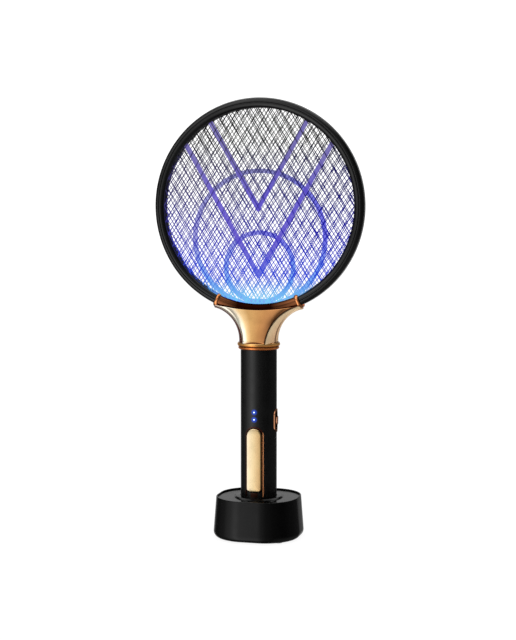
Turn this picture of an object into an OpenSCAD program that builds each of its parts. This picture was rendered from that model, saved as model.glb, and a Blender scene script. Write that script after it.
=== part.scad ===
// Electric fly swatter standing in its charging base.
// Front is -Y, up is +Z, and the origin is on the table under the handle's axis.

/* [Base] */
// Width of the base's top edge
base_top_w = 83; // [78:0.5:90]
// Depth of the base's top edge
base_top_d = 78; // [74:0.5:86]
// Height of the base's rim above the table
base_h = 41.7; // [40.7:0.1:42.5]
// How much wider the base is near the table than at its rim
base_flare = 5.4; // [3:0.2:8]
// Radius of the rounding along the base's bottom edge
base_fillet = 6; // [4:0.5:8]
// Wall thickness of the base shell
base_wall = 2; // [1.6:0.1:2.4]

/* [Handle] */
// Outer diameter of the handle tube
handle_d = 36.3; // [36:0.1:38]
// Wall thickness of the handle tube
handle_wall = 1.95; // [1.6:0.05:2.1]
// Height of the handle tube's upper end above the table
handle_top = 191.9; // [191:0.1:193]
// Radial clearance between the handle and the base's well
well_gap = 0.4; // [0.3:0.05:0.8]
// Height of the well's floor above the table
well_floor = 19.2; // [18.5:0.1:20]

/* [Press bar] */
// Width of the gold bar's face
bar_w = 15.2; // [12:0.2:16]
// Height of the bar's lower end above the table
bar_low = 48; // [47:0.1:54]
// Height of the bar's upper end above the table
bar_high = 111.8; // [104:0.1:114]
// How far the bar's face stands out from the handle's front
bar_proud = 2; // [1.4:0.1:2.6]
// How far the bar can be pressed in
bar_travel = 1.2; // [0.8:0.1:1.3]

/* [Side switch] */
// Height of the side switch's centre above the table
side_z = 118.3; // [116:0.1:120]
// Length of the side switch's oval trim
side_len = 23.5; // [22:0.5:26]
// Width of the side switch's oval trim
side_w = 12; // [10:0.5:13]
// How far the knob slides each way from the middle
side_travel = 4; // [2:0.5:4]

/* [Ring] */
// Height of the ring's centre above the table
ring_z = 331.8; // [331.4:0.1:332.6]
// Radius of the ring tube's centre line
ring_r = 102.1; // [101.7:0.1:103]
// Width of the ring tube, from the opening's edge to the outside
tube_w = 10; // [10:0.1:11]
// Depth of the ring tube, from front to rear
tube_d = 14; // [13.8:0.1:14.4]
// Corner radius of the ring tube
tube_round = 4.2; // [3.8:0.1:4.5]

/* [Nets] */
// Distance between neighbouring bars of a net
net_pitch = 9.4; // [8:0.1:14]
// Width of a net's bars
net_bar = 1; // [0.8:0.1:1.4]
// Angle of the bars from the vertical
net_angle = 30; // [25:1:40]
// Width of the spacer ribs
rib_w = 4.4; // [3:0.1:5]

/* [Neck] */
// Radius of the neck's concave sides, seen from the front
neck_sweep = 34; // [33.5:0.1:36]
// Height where the neck's sides begin to flare
neck_flare_z = 198.2; // [197.5:0.1:199]
// Half of the neck's depth at its lower end
neck_depth_low = 17.5; // [17:0.1:18]
// Half of the neck's depth where it meets the ring
neck_depth_high = 8.4; // [8.3:0.1:9]
// Angle of the clamp collars from straight down, round the ring
collar_angle = 24.9; // [24:0.1:26]

/* [Hidden] */
$fn = 72;
eps = 0.01;

// Base
feet_h = 0.8;
feet_r = 4.5;
feet_recess = 0.6;
plate_top_z = 3.6;
post_x = 26;
post_y = 24;
post_r = 3.2;
screw_r = 1.2;
screw_head_r = 2.4;
base_corner = 33;
slab = 0.01;
top_plate_z = base_h - 1.5;
top_plate_t = 1.8;
handle_r = handle_d / 2;
well_r = handle_r + well_gap;
well_wall = 1.6;
lip_r = 24.7;
lip_top_r = 23.2;
lip_rise = 1.6;
lip_outer_rise = 0.3;
bottom_tuck = 5;
shell_gap = 2.15;
board_post_x = 10;
board_post_y = 32.5;
pin_x = 7.75;
pin_r = 1;
pin_rise = 0.55;
barrel_r = 1.6;
barrel_top = well_floor - 0.8;
board_t = 1.6;
charge_board_z = 7.2;
usb_w = 9;
usb_h = 3.3;
usb_z = charge_board_z + board_t + usb_h / 2;
usb_back_y = 33.6;
usb_mouth_y = 41.2;

// Handle
cap_z = well_floor + 0.3;
cap_flange = 1.7;
bore_r = handle_r - handle_wall;
inner_r = bore_r - 0.1;
cap_skirt = 9;
board_y = -6.6;
chassis_t = 1.6;
chassis_w = 26;
chassis_low = cap_z + 12.7;
chassis_high = handle_top - 5;
shelf_zs = [cap_z + 17.3, cap_z + 87.7];
cell_r = 9.2;
cell_len = 65;
cell_z = cap_z + 20.7;
cell_y = 6.6;
trim_wall = 0.9;
trim_gap = 0.8;
trim_proud = 0.8;
bar_flange_y = -13;
bar_flange_t = 1.2;
bar_flange_w = bar_w + 3.2;
foot_low = base_h + 0.7;
inlay_proud = 0.35;
lamp_r = 1.5;
lamp_zs = [bar_high + 8.8, bar_high + 16.1];
knob_w = 6.4;
knob_len = 9;
knob_slot = 1.2;
knob_window = knob_len + 2 * side_travel + knob_slot;
switch_x = 10;
switch_d = 6.8;
switch_len = 16;

// Ring and nets
channel_r = ring_r + 1.1;
channel_v = 5.2;
bezel_r = ring_r + 0.3;
net_t = 1;
net_v = 4.6;
spacer_in = ring_r - tube_w / 2;
rim_in = spacer_in + 0.2;
rim_out = channel_r - 0.2;
spacer_low = 0.55;
spacer_high = 4.05;
lamp_half_angle = 18;

// Neck
neck_z = handle_top + 5.4;
neck_end_z = ring_z - ring_r + 1.7;
neck_wall = 1.8;
neck_w = 18.3;
neck_levels = 12;
arc_steps = 12;
boss_x = 16;
boss_z = neck_z + 21.5;
boss_r = 3;
neck_plug = 12;
plug_wall = 2.2;
saddle_wall = 1;
skin = 0.03;
collar_ridge = 2.9;
collar_waist = 2.2;
collar_half_angle = 1.15;
collar_places = [271 - collar_angle, 269 + collar_angle];
lead_r = 0.7;
lead_low = handle_top - 12;

// ---------- shared shapes ----------

module rounded_rect(w, d, r) {
  square([w - 2 * r, d], center = true);
  square([w, d - 2 * r], center = true);
  for (sx = [-1, 1], sy = [-1, 1])
    translate([sx * (w / 2 - r), sy * (d / 2 - r)]) circle(r);
}

// An upright stadium: round at both ends, seen along the extrusion
module stadium(w, len) {
  square([w, len - w], center = true);
  for (s = [-1, 1]) translate([0, s * (len - w) / 2]) circle(w / 2);
}

// Extrudes a front view (x, z) along Y, from y0 to y1
module along_y(y0, y1) {
  translate([0, y1, 0]) rotate([90, 0, 0]) linear_extrude(y1 - y0) children();
}

// Extrudes a side view (y, z) along X, from x0 to x1
module along_x(x0, x1) {
  translate([x0, 0, 0]) rotate([90, 0, 90]) linear_extrude(x1 - x0) children();
}

// Sweeps a section (radius, distance to the front) round the ring's axis.
// Angles run from +X towards +Z, so the bottom of the ring is at 270.
module round_ring(from = 0, to = 360) {
  translate([0, 0, ring_z]) rotate([90, 0, 0])
    rotate_extrude(angle = to - from, start = from, $fn = 180) children();
}

// Section of the ring tube, grown outward by g
module tube_section(g = 0) {
  translate([ring_r, 0]) rounded_rect(tube_w + 2 * g, tube_d + 2 * g, tube_round + g);
}

// Rectangle in the ring's section, given by its radii and its distances to the front
module section_box(r0, r1, v0, v1) {
  translate([r0, v0]) square([r1 - r0, v1 - v0]);
}

// A screw along +Z with its head's underside at z = 0
module screw(len) {
  translate([0, 0, -1.5]) difference() {
    cylinder(h = 1.5, r = screw_head_r);
    translate([0, 0, -eps]) cylinder(h = 0.8, r = 1, $fn = 6);
  }
  cylinder(h = len, r = screw_r);
}

// ---------- base ----------

// One level of the base's plan, grown by g
module base_level(z, g) {
  translate([0, 0, z]) linear_extrude(slab)
    rounded_rect(base_top_w + 2 * g, base_top_d + 2 * g, base_corner + g);
}

module base_outside() {
  side = base_flare / 2;
  hull($fn = 64) {
    for (a = [0 : 15 : 90])
      base_level(feet_h + base_fillet * (1 - sin(a)), side - bottom_tuck * (1 - cos(a)));
    base_level(base_h - 0.8, 0.1);
    base_level(base_h - 0.2, -0.2);
    base_level(base_h - slab, -0.6);
  }
}

module base_shell() {
  color("#101010") difference() {
    base_outside();
    hull($fn = 64) {
      base_level(feet_h - 1, base_flare / 2 - bottom_tuck - 0.8 * base_wall);
      base_level(feet_h + base_fillet, base_flare / 2 - base_wall);
      base_level(base_h + 1, -base_wall);
    }
    translate([0, base_top_d / 2, usb_z]) along_y(-6, 6)
      rounded_rect(usb_w + 0.8, usb_h + 0.8, 1.9);
  }
}

module base_top_plate() {
  color("#181818") difference() {
    union() {
      translate([0, 0, top_plate_z - top_plate_t]) linear_extrude(top_plate_t)
        rounded_rect(base_top_w - 2 * shell_gap, base_top_d - 2 * shell_gap, base_corner - shell_gap);
      translate([0, 0, well_floor - 2])
        cylinder(h = top_plate_z - well_floor + 1, r = well_r + well_wall);
      rotate_extrude() polygon([
        [well_r, top_plate_z - 0.5], [lip_r + 0.2, top_plate_z - 0.5],
        [lip_r, top_plate_z + lip_outer_rise], [lip_top_r, top_plate_z + lip_rise - 0.2],
        [well_r, top_plate_z + lip_rise]]);
      for (sx = [-1, 1], sy = [-1, 1])
        translate([sx * post_x, sy * post_y, plate_top_z])
          cylinder(h = top_plate_z - plate_top_z - 1, r = post_r);
    }
    translate([0, 0, well_floor]) cylinder(h = base_h, r = well_r);
    for (x = [0, pin_x]) translate([x, 0, 0]) {
      cylinder(h = barrel_top, r = barrel_r + 0.15);
      cylinder(h = well_floor + 1, r = pin_r + 0.3);
    }
    for (sx = [-1, 1], sy = [-1, 1])
      translate([sx * post_x, sy * post_y, 0]) cylinder(h = 14, r = screw_r);
  }
}

module base_bottom_plate() {
  color("#1c1c1c") {
    difference() {
      translate([0, 0, feet_h]) linear_extrude(plate_top_z - feet_h)
        rounded_rect(base_top_w - 4 * shell_gap, base_top_d - 4 * shell_gap, base_corner - 4);
      for (sx = [-1, 1], sy = [-1, 1]) translate([sx * post_x, sy * post_y, 0]) {
        cylinder(h = feet_h + feet_recess, r = feet_r + 0.1);
        cylinder(h = plate_top_z - 0.6, r = screw_head_r + 0.2);
        cylinder(h = plate_top_z + 1, r = screw_r + 0.2);
      }
    }
    for (s = [-1, 1]) translate([s * board_post_x, board_post_y, plate_top_z])
      cylinder(h = charge_board_z - plate_top_z, r = 1.6);
  }
}

module ballast_plate() {
  color("#8a8d90") translate([0, 0, plate_top_z]) cylinder(h = 3, r = 30);
}

module rubber_feet() {
  color("#262626") for (sx = [-1, 1], sy = [-1, 1])
    translate([sx * post_x, sy * post_y, 0]) cylinder(h = feet_h + feet_recess, r = feet_r);
}

module base_screws() {
  color("#b8bcc0") for (sx = [-1, 1], sy = [-1, 1])
    translate([sx * post_x, sy * post_y, plate_top_z - 0.6]) screw(9);
}

module charging_board() {
  color("#14532d") translate([-13, -10, charge_board_z]) cube([26, 44.5, board_t]);
}

module contact_barrels() {
  color("#c9a227") for (x = [0, pin_x])
    translate([x, 0, charge_board_z + board_t]) difference() {
      cylinder(h = barrel_top - charge_board_z - board_t, r = barrel_r);
      translate([0, 0, -1]) cylinder(h = barrel_top, r = pin_r + 0.06);
    }
}

module contact_pins() {
  pin_low = charge_board_z + board_t + 1.4;
  color("#e3c25a") for (x = [0, pin_x]) translate([x, 0, pin_low]) {
    cylinder(h = well_floor + pin_rise - 0.4 - pin_low, r = pin_r);
    translate([0, 0, well_floor + pin_rise - 0.4 - pin_low]) cylinder(h = 0.4, r1 = pin_r, r2 = 0.6);
  }
}

module usb_inlet() {
  color("#a9adb2") translate([0, 0, usb_z]) {
    difference() {
      along_y(usb_back_y, usb_mouth_y) rounded_rect(usb_w, usb_h, 1.5);
      along_y(usb_back_y + 1.4, usb_mouth_y + 1) rounded_rect(usb_w - 0.7, usb_h - 0.7, 1.2);
    }
    along_y(usb_back_y + 1.2, usb_mouth_y - 0.8) square([6.7, 0.7], center = true);
  }
}

// ---------- handle ----------

// The outline that the bar, its trim and its slot share, grown by g and reaching down to low
module bar_outline(g = 0, low = bar_low) {
  mid = (low + bar_high) / 2;
  len = bar_high - low + 2 * g;
  w = bar_w + 2 * g;
  foot = 3 + g;
  translate([0, mid]) {
    translate([0, len / 2 - w / 2]) circle(w / 2);
    translate([-w / 2, foot - len / 2]) square([w, len - w / 2 - foot]);
    translate([foot - w / 2, -len / 2]) square([w - 2 * foot, foot + eps]);
    for (s = [-1, 1]) translate([s * (w / 2 - foot), foot - len / 2]) circle(foot);
  }
}

module handle_tube() {
  color("#141414") difference() {
    translate([0, 0, cap_z + cap_flange])
      cylinder(h = handle_top - cap_z - cap_flange, r = handle_r);
    translate([0, 0, cap_z]) cylinder(h = handle_top, r = bore_r);
    along_y(-handle_d, 0) bar_outline(trim_gap + 0.1);
    for (z = lamp_zs) translate([0, 0, z]) rotate([90, 0, 0]) cylinder(h = handle_d, r = lamp_r + 0.05);
    along_x(0, handle_d) translate([0, side_z]) stadium(knob_w + 0.8, knob_window);
  }
}

module handle_end_cap() {
  color("#1d1d1d") difference() {
    union() {
      translate([0, 0, cap_z]) cylinder(h = cap_flange, r = handle_r);
      translate([0, 0, cap_z + 1]) cylinder(h = cap_skirt, r = inner_r);
    }
    translate([0, 0, cap_z + 3]) cylinder(h = 10, r = inner_r - 1.6);
    translate([0, 0, cap_z - 1]) cylinder(h = 2.2, r = 3.1);
    translate([0, 0, cap_z - 1]) difference() {
      cylinder(h = 2.2, r = pin_x + 1.8);
      translate([0, 0, -1]) cylinder(h = 5, r = pin_x - 1.8);
    }
  }
}

module charge_contacts() {
  color("#d9b14a") translate([0, 0, cap_z + 0.6]) {
    cylinder(h = 0.6, r = 3);
    difference() {
      cylinder(h = 0.6, r = pin_x + 1.7);
      translate([0, 0, -1]) cylinder(h = 3, r = pin_x - 1.7);
    }
  }
}

module inner_chassis() {
  plate_y = board_y + board_t;
  color("#3a3a3c") {
    translate([-chassis_w / 2, plate_y, chassis_low])
      cube([chassis_w, chassis_t, chassis_high - chassis_low]);
    for (z = shelf_zs) translate([0, 0, z]) difference() {
      cylinder(h = 2, r = inner_r - 0.2);
      translate([-handle_d / 2, plate_y + eps - handle_d, -1]) cube([handle_d, handle_d, 4]);
      translate([switch_x - 0.5, plate_y + chassis_t, -1]) cube([handle_r, switch_d + 1, 4]);
      translate([chassis_w / 2 + 0.2, -4.3, -1]) cube([handle_r, 8.6, 4]);
    }
  }
}

module battery_cell() {
  color("#2f6fb0") translate([0, cell_y, cell_z]) {
    cylinder(h = cell_len - 1, r = cell_r);
    cylinder(h = cell_len, r = 3);
  }
}

module battery_terminals() {
  color("#b9bcc0") {
    translate([-5, cell_y - 4.5, cell_z + cell_len + 0.2]) cube([10, 9, 1.6]);
    translate([0, cell_y, cell_z - 1.2]) cylinder(h = 1, r1 = 5, r2 = 3);
  }
}

module main_board() {
  color("#0f4d2a") difference() {
    translate([-11, board_y, chassis_low + 2]) cube([22, board_t, chassis_high - chassis_low - 6]);
    translate([switch_x - 0.6, board_y - 1, side_z - 10.5]) cube([3, 4, 21]);
  }
}

module hv_transformer() {
  color("#5c4326") translate([0, board_y - 4.1, handle_top - 37]) {
    cube([12, 8, 14], center = true);
    cube([9, 7.9, 16.5], center = true);
  }
}

module hv_capacitors() {
  color("#8e2f1f") for (z = [handle_top - 55, handle_top - 23, handle_top - 15.5])
    translate([0, board_y - 2.6, z]) cube([13, 5, 6], center = true);
}

module tact_switch() {
  color("#2b2b2b") translate([0, 0, (bar_low + bar_high) / 2]) {
    translate([-3, board_y - 2.6, -3]) cube([6, 2.6, 6]);
    translate([0, board_y - 2.6, 0]) rotate([90, 0, 0]) cylinder(h = 1, r = 1.6);
  }
}

// Thin frame that stands on the tube round the bar's slot, open at its lower end
module bar_trim() {
  color("#c98a63") intersection() {
    difference() {
      along_y(-handle_d, -10) bar_outline(trim_gap + trim_wall, foot_low);
      along_y(-handle_d - 1, -9) bar_outline(trim_gap, foot_low - 6);
      translate([-handle_r, -handle_d, 0]) cube([handle_d, handle_d, foot_low]);
    }
    difference() {
      cylinder(h = handle_top, r = handle_r + trim_proud);
      translate([0, 0, -1]) cylinder(h = handle_top + 2, r = handle_r + 0.02);
    }
  }
}

// Dark plate on the tube between the bar's lower end and the base
module bar_foot_inlay() {
  half_w = bar_w / 2 + trim_gap - 0.1;
  color("#4a2312") intersection() {
    translate([-half_w, -handle_d, foot_low])
      cube([2 * half_w, handle_r, bar_low - trim_gap - 0.3 - foot_low]);
    difference() {
      cylinder(h = handle_top, r = handle_r + inlay_proud);
      translate([0, 0, -1]) cylinder(h = handle_top + 2, r = handle_r + 0.02);
    }
  }
}

module press_bar() {
  face_y = -handle_r - bar_proud;
  mid = (bar_low + bar_high) / 2;
  color("#e3bd7c") {
    along_y(face_y + 0.5, bar_flange_y + eps) bar_outline(0);
    along_y(face_y, face_y + 0.5 + eps) bar_outline(-0.5);
    translate([0, bar_flange_y, mid]) along_y(0, bar_flange_t)
      rounded_rect(bar_flange_w, bar_high - bar_low + 3, 3);
  }
}

// Two coil springs behind the bar's ends, drawn as stacked rings on a core
module bar_springs() {
  y0 = bar_flange_y + bar_flange_t + 0.05;
  len = board_y - y0;
  color("#c5c8cc") for (z = [bar_low + 9, bar_high - 9]) translate([0, y0, z]) rotate([-90, 0, 0]) {
    cylinder(h = len, r = 1.5);
    for (i = [0 : 3]) translate([0, 0, 0.5 + i * (len - 1) / 3])
      rotate_extrude($fn = 32) translate([1.8, 0]) circle(0.35, $fn = 16);
  }
}

// Oval plate that follows the tube's right side, with the knob's window in it
module side_trim() {
  color("#b9744f") intersection() {
    along_x(10, handle_d) translate([0, side_z]) difference() {
      stadium(side_w, side_len);
      stadium(knob_w + 0.8, knob_window);
    }
    difference() {
      cylinder(h = handle_top, r = handle_r + 0.8);
      translate([0, 0, -1]) cylinder(h = handle_top + 2, r = handle_r + 0.02);
    }
  }
}

module side_knob() {
  color("#c07d58") difference() {
    union() {
      along_x(14.6, 15.2) translate([0, side_z]) square([7.6, knob_len + 1.4], center = true);
      along_x(15, handle_r + 1.4) translate([0, side_z]) stadium(knob_w, knob_len);
    }
    for (i = [-1, 0, 1]) translate([handle_r + 1.6, 0, side_z + i * 1.8])
      cube([1, knob_w + 1, 0.7], center = true);
  }
}

module slide_switch_body() {
  color("#4a4a4c") {
    translate([switch_x, -switch_d / 2, side_z - switch_len / 2]) cube([3.6, switch_d, switch_len]);
    translate([switch_x + 3.5, -1, side_z - 1]) cube([0.8, 2, 2]);
  }
}

module indicator_lenses() {
  back_y = board_y - 1.3;
  len = handle_r + back_y;
  color("#2f62ff") for (z = lamp_zs) translate([0, back_y, z]) rotate([90, 0, 0]) {
    cylinder(h = len, r = lamp_r);
    translate([0, 0, len - eps]) cylinder(h = 0.35, r1 = lamp_r, r2 = lamp_r - 0.5);
  }
}

module indicator_lamps() {
  color("#dfe7ff") for (z = lamp_zs)
    translate([0, board_y - 0.6, z]) cube([2, 1.2, 1.6], center = true);
}

// ---------- neck ----------

// Two-lobed ring that covers the joint between handle and neck
module handle_collar() {
  low = handle_top - 2.2;
  color("#c8814f") difference() {
    rotate_extrude() {
      translate([handle_r + 0.1, low + 1]) square([1.6, neck_z - 1.1 - low]);
      translate([handle_r + 0.7, low + 1.7]) circle(1.7, $fn = 48);
      translate([handle_r + 1, neck_z - 0.1 - 2.3]) circle(2.3, $fn = 48);
    }
    cylinder(h = handle_top + 40, r = handle_r + 0.1);
  }
}

function neck_side(z) =
  z <= neck_flare_z ? neck_w :
  neck_w + neck_sweep - sqrt(max(pow(neck_sweep, 2) - pow(z - neck_flare_z, 2), 0));
function neck_front(z) =
  neck_depth_low + (neck_depth_high - neck_depth_low) * (z - neck_z) / (neck_end_z - 2 - neck_z);
function neck_edge(z) = 7.8 - 5.2 * (z - neck_z) / (neck_end_z - neck_z);

// One level of the neck: flat front and rear panels with half-oval sides
function neck_level(z, inset) =
  let (w = neck_side(z) - inset, d = neck_front(z) - inset, e = neck_edge(z))
  concat(
    [for (i = [0 : arc_steps]) let (t = -90 + 180 * i / arc_steps)
      [w - e + e * cos(t), d * sin(t), z]],
    [for (i = [0 : arc_steps]) let (t = 90 - 180 * i / arc_steps)
      [-(w - e) - e * cos(t), d * sin(t), z]]);

module neck_loft(inset, z0, z1) {
  n = 2 * (arc_steps + 1);
  zs = [for (i = [0 : neck_levels]) z0 + (z1 - z0) * i / neck_levels];
  points = [for (z = zs) each neck_level(z, inset)];
  sides = [for (k = [0 : neck_levels - 1], i = [0 : n - 1])
    let (a = k * n + i, b = k * n + (i + 1) % n) each [[a, a + n, b], [b, a + n, b + n]]];
  polyhedron(points = points, faces = concat(
    [[for (i = [0 : n - 1]) i]], sides, [[for (i = [0 : n - 1]) (neck_levels + 1) * n - 1 - i]]));
}

module neck_whole() {
  difference() {
    union() {
      neck_loft(0, neck_z, neck_end_z);
      translate([0, 0, handle_top + 0.2]) cylinder(h = neck_z + 1 - handle_top - 0.2, r = handle_r);
      translate([0, 0, handle_top - neck_plug]) cylinder(h = neck_plug + 2, r = inner_r);
    }
    neck_loft(neck_wall, neck_z + 1.5, neck_end_z + 0.5);
    translate([0, 0, handle_top - neck_plug - 1])
      cylinder(h = neck_z - handle_top + neck_plug + 3, r = inner_r - plug_wall);
    translate([0, 0, ring_z]) rotate([90, 0, 0])
      cylinder(h = 60, r = ring_r + tube_w / 2 + saddle_wall + 0.05, center = true, $fn = 180);
    for (a = collar_places) round_ring(a - collar_half_angle - 0.1, a + collar_half_angle + 0.1)
      tube_section(collar_ridge + 0.05);
  }
}

module neck_bosses(y0, y1, r) {
  for (s = [-1, 1]) translate([s * boss_x, y1, boss_z]) rotate([90, 0, 0]) cylinder(h = y1 - y0, r = r);
}

module neck_front_shell() {
  d = neck_front(boss_z);
  color("#e2b878") difference() {
    union() {
      intersection() {
        neck_whole();
        translate([-60, -60, 150]) cube([120, 60, 100]);
      }
      neck_bosses(-d + 1, 0, boss_r);
    }
    neck_bosses(-d + 3, 1, screw_r);
  }
}

module neck_rear_shell() {
  d = neck_front(boss_z);
  color("#d9ab6c") difference() {
    union() {
      intersection() {
        neck_whole();
        translate([-60, 0, 150]) cube([120, 60, 100]);
      }
      neck_bosses(0, d - 1, boss_r);
    }
    neck_bosses(-1, 20, screw_r + 0.2);
    neck_bosses(d - 2.6, 30, screw_head_r + 0.2);
  }
}

module neck_screws() {
  head_y = neck_front(boss_z) - 2.6;
  color("#9b9ea2") for (s = [-1, 1])
    translate([s * boss_x, head_y, boss_z]) rotate([90, 0, 0]) screw(head_y + 7);
}

module lead_window() {
  translate([-5, -2.5, neck_end_z - 12]) cube([10, 5, 9.3]);
}

// Sleeve round the tube's section, open towards the ring's middle where the nets come out
module sleeve_section(outer, inner) {
  difference() {
    tube_section(outer);
    tube_section(inner);
    section_box(ring_r - tube_w, ring_r, -channel_v, channel_v);
  }
}

module neck_saddle() {
  color("#8f5a33") difference() {
    round_ring(270 - collar_angle, 270 + collar_angle) sleeve_section(saddle_wall, skin);
    lead_window();
  }
}

// Clamp with two ridges and a waist, round the saddle's end at the angle a
module clamp_collar(a) {
  edge = collar_half_angle;
  color("#c07a4c")
    for (part = [[-edge, -0.3, collar_ridge], [-0.3, 0.3, collar_waist], [0.3, edge, collar_ridge]])
      round_ring(a + part[0], a + part[1]) sleeve_section(part[2], saddle_wall + skin);
}

module clamp_collar_left() { clamp_collar(collar_places[0]); }

module clamp_collar_right() { clamp_collar(collar_places[1]); }

module hv_leads() {
  color("#b3201c") for (x = [-3, 0, 3])
    translate([x, 0, lead_low]) cylinder(h = ring_z - rim_out - 0.3 - lead_low, r = lead_r);
}

// ---------- ring ----------

module ring_hoop() {
  color("#121212") difference() {
    round_ring() difference() {
      tube_section();
      section_box(80, channel_r, -channel_v, channel_v);
      section_box(80, bezel_r + 0.02, channel_v - 1, tube_d);
    }
    lead_window();
  }
}

module ring_bezel() {
  color("#1a1a1a") round_ring() intersection() {
    tube_section();
    section_box(80, bezel_r, channel_v, tube_d);
  }
}

// Diamond net with a flat rim, its middle at the distance v from the ring's centre plane to the front
module net(v) {
  reach = ceil(rim_in / net_pitch) * net_pitch;
  translate([0, -v, ring_z]) along_y(-net_t / 2, net_t / 2) {
    difference() {
      circle(rim_out, $fn = 180);
      circle(rim_in, $fn = 180);
    }
    intersection() {
      circle(rim_in + 1, $fn = 180);
      for (a = [-net_angle, net_angle]) rotate(a)
        for (x = [-reach : net_pitch : reach])
          translate([x - net_bar / 2, -rim_out]) square([net_bar, 2 * rim_out]);
    }
  }
}

module front_net() { color("#3c3c46") net(net_v); }

module centre_grid() { color("#5a5a66") net(0); }

module rear_net() { color("#3c3c46") net(-net_v); }

// A V-shaped rib with its point at the height z0 from the ring's centre
module v_rib(z0) {
  for (s = [-1, 1]) translate([0, z0]) rotate(s * net_angle)
    translate([-rib_w / 2, -rib_w / 2]) square([rib_w, 2 * ring_r]);
}

module circle_rib(z0, r) {
  translate([0, z0]) difference() {
    circle(r + rib_w / 2, $fn = 120);
    circle(r - rib_w / 2, $fn = 120);
  }
}

module spacer_ring(v0, v1) {
  round_ring() section_box(spacer_in, rim_out, v0, v1);
}

// Front insulating spacer, with the two V-shaped ribs
module front_spacer() {
  color("#5a4a9c") {
    spacer_ring(spacer_low, spacer_high);
    translate([0, 0, ring_z]) along_y(-spacer_high + 0.15, -1.4) intersection() {
      circle(spacer_in + 1, $fn = 180);
      union() {
        v_rib(-2);
        v_rib(-68);
      }
    }
  }
}

// Rear insulating spacer, with the two circular ribs and the pocket for the lamps
module rear_spacer() {
  color("#53619a") difference() {
    union() {
      spacer_ring(-spacer_high, -spacer_low);
      translate([0, 0, ring_z]) along_y(1.4, spacer_high - 0.15) intersection() {
        circle(spacer_in + 1, $fn = 180);
        union() {
          circle_rib(-31.8, 67);
          circle_rib(-60.8, 34.7);
          translate([-9, -spacer_in - 1]) square([18, 6]);
        }
      }
    }
    round_ring(270 - lamp_half_angle - 1, 270 + lamp_half_angle + 1)
      section_box(spacer_in - 1, spacer_in + 3.5, -spacer_high + 0.5, -spacer_low - 0.5);
  }
}

module lamp_sector(r0, r1) {
  round_ring(270 - lamp_half_angle, 270 + lamp_half_angle)
    section_box(r0, r1, -spacer_high + 0.6, -spacer_low - 0.6);
}

module uv_lamp_strip() { color("#e8e6dc") lamp_sector(spacer_in + 2.7, spacer_in + 3.4); }

module uv_lamps() {
  color("#d8d0ff") for (i = [-4 : 4]) translate([0, 0, ring_z]) rotate([0, i * 4, 0])
    translate([0, (spacer_low + spacer_high) / 2, -spacer_in - 1.9]) cube([2.6, 1.8, 1.4], center = true);
}

module uv_window() { color("#cfd4ff") lamp_sector(spacer_in + 0.05, spacer_in + 1); }

base_shell();
base_top_plate();
base_bottom_plate();
ballast_plate();
rubber_feet();
base_screws();
charging_board();
contact_barrels();
contact_pins();
usb_inlet();
handle_tube();
handle_end_cap();
charge_contacts();
inner_chassis();
battery_cell();
battery_terminals();
main_board();
hv_transformer();
hv_capacitors();
tact_switch();
bar_trim();
bar_foot_inlay();
press_bar();
bar_springs();
side_trim();
side_knob();
slide_switch_body();
indicator_lenses();
indicator_lamps();
handle_collar();
neck_front_shell();
neck_rear_shell();
neck_saddle();
neck_screws();
clamp_collar_left();
clamp_collar_right();
hv_leads();
ring_hoop();
ring_bezel();
front_net();
centre_grid();
rear_net();
front_spacer();
rear_spacer();
uv_lamp_strip();
uv_lamps();
uv_window();
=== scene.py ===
"""Looks of the electric fly swatter in its charging base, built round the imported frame."""
import math
import random

import bmesh
import bpy
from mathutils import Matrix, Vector


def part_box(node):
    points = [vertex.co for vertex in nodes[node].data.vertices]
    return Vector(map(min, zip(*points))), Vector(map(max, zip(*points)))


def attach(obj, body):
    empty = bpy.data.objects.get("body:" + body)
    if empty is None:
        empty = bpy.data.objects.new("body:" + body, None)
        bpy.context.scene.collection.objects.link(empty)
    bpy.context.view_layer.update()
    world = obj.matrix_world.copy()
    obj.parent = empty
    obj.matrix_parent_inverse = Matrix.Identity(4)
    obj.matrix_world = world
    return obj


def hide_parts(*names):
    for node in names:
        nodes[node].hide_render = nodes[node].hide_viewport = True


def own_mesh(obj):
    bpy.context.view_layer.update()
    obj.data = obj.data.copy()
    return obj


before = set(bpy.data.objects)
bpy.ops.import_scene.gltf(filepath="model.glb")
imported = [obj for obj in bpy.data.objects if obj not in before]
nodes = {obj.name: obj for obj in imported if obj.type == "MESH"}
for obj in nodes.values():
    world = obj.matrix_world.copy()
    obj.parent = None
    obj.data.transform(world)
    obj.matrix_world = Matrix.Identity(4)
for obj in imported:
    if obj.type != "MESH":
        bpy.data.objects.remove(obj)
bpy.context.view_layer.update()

MM = 0.001


def span(node):
    """Lowest and highest corner of a CAD node, in millimetres."""
    low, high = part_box(node)
    return low / MM, high / MM


# ---------- driving dimensions in millimetres, most of them read from the frame ----------

hoop_low, hoop_high = span("ring_hoop")
net_low, net_high = span("front_net")
tube_high = span("handle_tube")[1]
base_low, base_high = span("base_shell")
lens_low, lens_high = span("indicator_lenses")
BAR_LOW, BAR_HIGH = span("press_bar")

# The ring's tube: a rounded rectangle round a channel that holds the nets
TUBE_WIDE = 10
TUBE_CORNER = 4.2
TUBE_HALF = (hoop_high.y - hoop_low.y) / 2
TUBE_FLAT_R = TUBE_WIDE / 2 - TUBE_CORNER
TUBE_FLAT_V = TUBE_HALF - TUBE_CORNER
RING_Z = (hoop_low.z + hoop_high.z) / 2
RING_OUT = (hoop_high.x - hoop_low.x) / 2
RING_R = RING_OUT - TUBE_WIDE / 2
SPACER_IN = RING_OUT - TUBE_WIDE
CHANNEL_V = -net_low.y + 0.1
CHANNEL_R = RING_OUT - 3.9

# The nets: place, pitch and the lean of their two layers of wires
NET_V = (-net_low.y - net_high.y) / 2
GUARD_PITCH = 9.4
GUARD_LEANS = (30, -30)
GRID_PITCH = 3.5
GRID_LEANS = (37, -33)
NET_REACH = SPACER_IN + 0.8

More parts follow.
